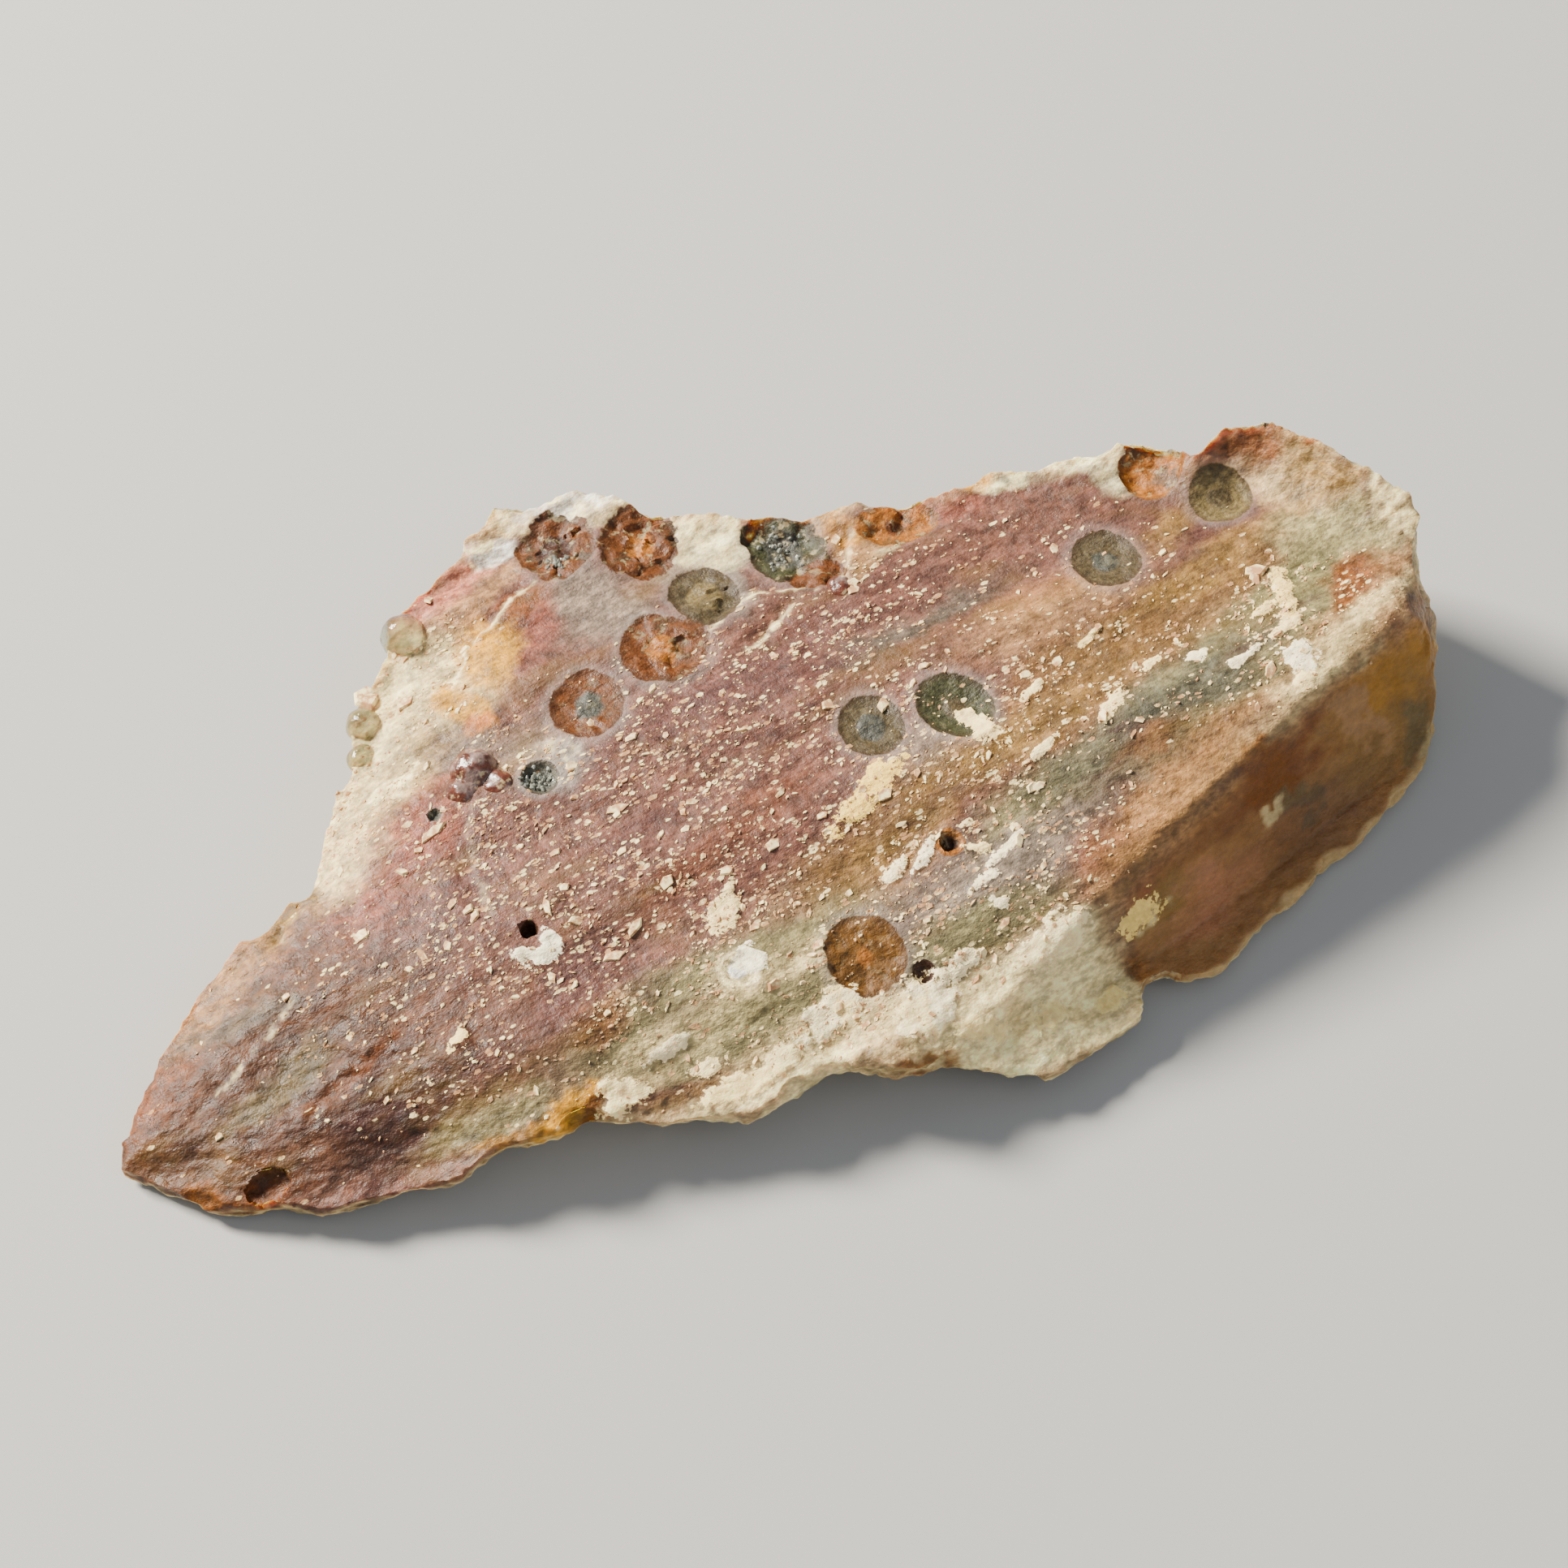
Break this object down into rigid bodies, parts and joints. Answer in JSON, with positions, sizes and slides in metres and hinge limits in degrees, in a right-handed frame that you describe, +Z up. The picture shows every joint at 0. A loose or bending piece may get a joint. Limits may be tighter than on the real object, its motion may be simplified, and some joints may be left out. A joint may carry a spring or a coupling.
{
  "type": "rough ocean jasper",
  "caption": "Rough broken piece of orbicular jasper: a long flake with a thin tip, scalloped rim, open orb sockets, a steep-faced thick end and a small flat spot to rest on.",
  "frame": {"origin": "middle of the stone's length and width, on the surface that it rests on", "axes": "+X along the length from the thin tip to the thick end, +Z up, +Y towards the back corner"},
  "size_m": [0.0688, 0.0394, 0.0097],
  "materials": {
    "jasper": "waxy broken stone, unpolished, slightly translucent at the rim"
  },
  "bodies": {
    "root": {"jasper_stone": "jasper"}
  },
  "joints": []
}
